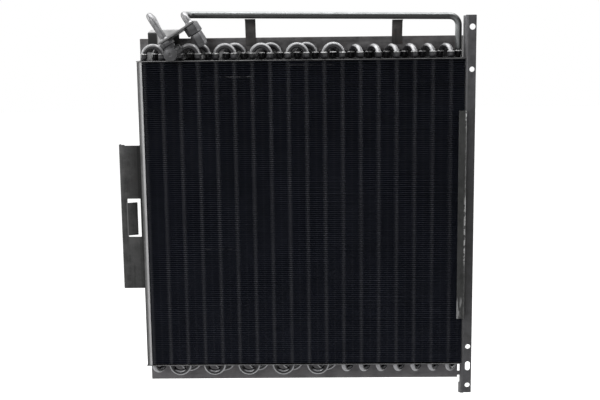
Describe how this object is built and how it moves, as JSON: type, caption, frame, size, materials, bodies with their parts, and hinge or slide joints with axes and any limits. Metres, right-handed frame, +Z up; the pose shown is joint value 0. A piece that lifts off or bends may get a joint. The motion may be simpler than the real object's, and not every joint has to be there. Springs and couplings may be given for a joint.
{
  "type": "finned condenser coil",
  "caption": "Upright plate-fin condenser coil with looped tubes at both ends, end plates, frame bars, side brackets, a discharge pipe with clips and two pipe fittings at its top corner.",
  "frame": {"origin": "on the right flange's back face, beside the core's middle height, in the line of the bolt holes", "axes": "+X to the coil's right as it is faced, +Y to its back, along the right flange seat's normal, +Z up"},
  "size_m": [0.5051, 0.0765, 0.5682],
  "materials": {
    "fins": "black painted aluminium fins, satin",
    "coil_tubes": "black gloss paint over tube",
    "end_plates": "black gloss paint over folded sheet steel",
    "frame": "grey, uneven, worn",
    "side_plate": "plain sheet, satin",
    "rail": "grey with chipped light paint",
    "pipes": "satin silver",
    "steel_pipe": "satin grey",
    "fittings": "plated, satin"
  },
  "bodies": {
    "root": {"bottom_bar": "frame", "bottom_end_plate": "end_plates", "discharge_pipe": "steel_pipe", "fin_pack": "fins", "fitting_bracket": "fittings", "hairpin_01": "coil_tubes", "hairpin_02": "coil_tubes", "hairpin_03": "coil_tubes", "hairpin_04": "coil_tubes", "hairpin_05": "coil_tubes", "hairpin_06": "coil_tubes", "hairpin_07": "coil_tubes", "hairpin_08": "coil_tubes", "hairpin_09": "coil_tubes", "hairpin_10": "coil_tubes", "hairpin_11": "coil_tubes", "hairpin_12": "coil_tubes", "hairpin_13": "coil_tubes", "hairpin_14": "coil_tubes", "hairpin_15": "coil_tubes", "hairpin_16": "coil_tubes", "hairpin_17": "coil_tubes", "hairpin_18": "coil_tubes", "left_fitting_body": "fittings", "left_fitting_nut": "fittings", "left_pipe_clip": "frame", "left_service_cap": "fittings", "left_side_plate": "side_plate", "left_window_bracket": "frame", "liquid_pipe": "pipes", "rail_strip": "rail", "return_bend_01": "coil_tubes", "return_bend_02": "coil_tubes", "return_bend_03": "coil_tubes", "return_bend_04": "coil_tubes", "return_bend_05": "coil_tubes", "return_bend_06": "coil_tubes", "return_bend_07": "coil_tubes", "return_bend_08": "coil_tubes", "return_bend_09": "coil_tubes", "return_bend_10": "coil_tubes", "return_bend_11": "coil_tubes", "return_bend_12": "coil_tubes", "return_bend_13": "coil_tubes", "return_bend_14": "coil_tubes", "return_bend_15": "coil_tubes", "return_bend_16": "coil_tubes", "return_bend_17": "coil_tubes", "right_elbow": "pipes", "right_fitting_body": "fittings", "right_fitting_nut": "fittings", "right_pipe_clip": "frame", "right_side_bracket": "frame", "top_bar": "frame", "top_end_plate": "end_plates"}
  },
  "joints": []
}
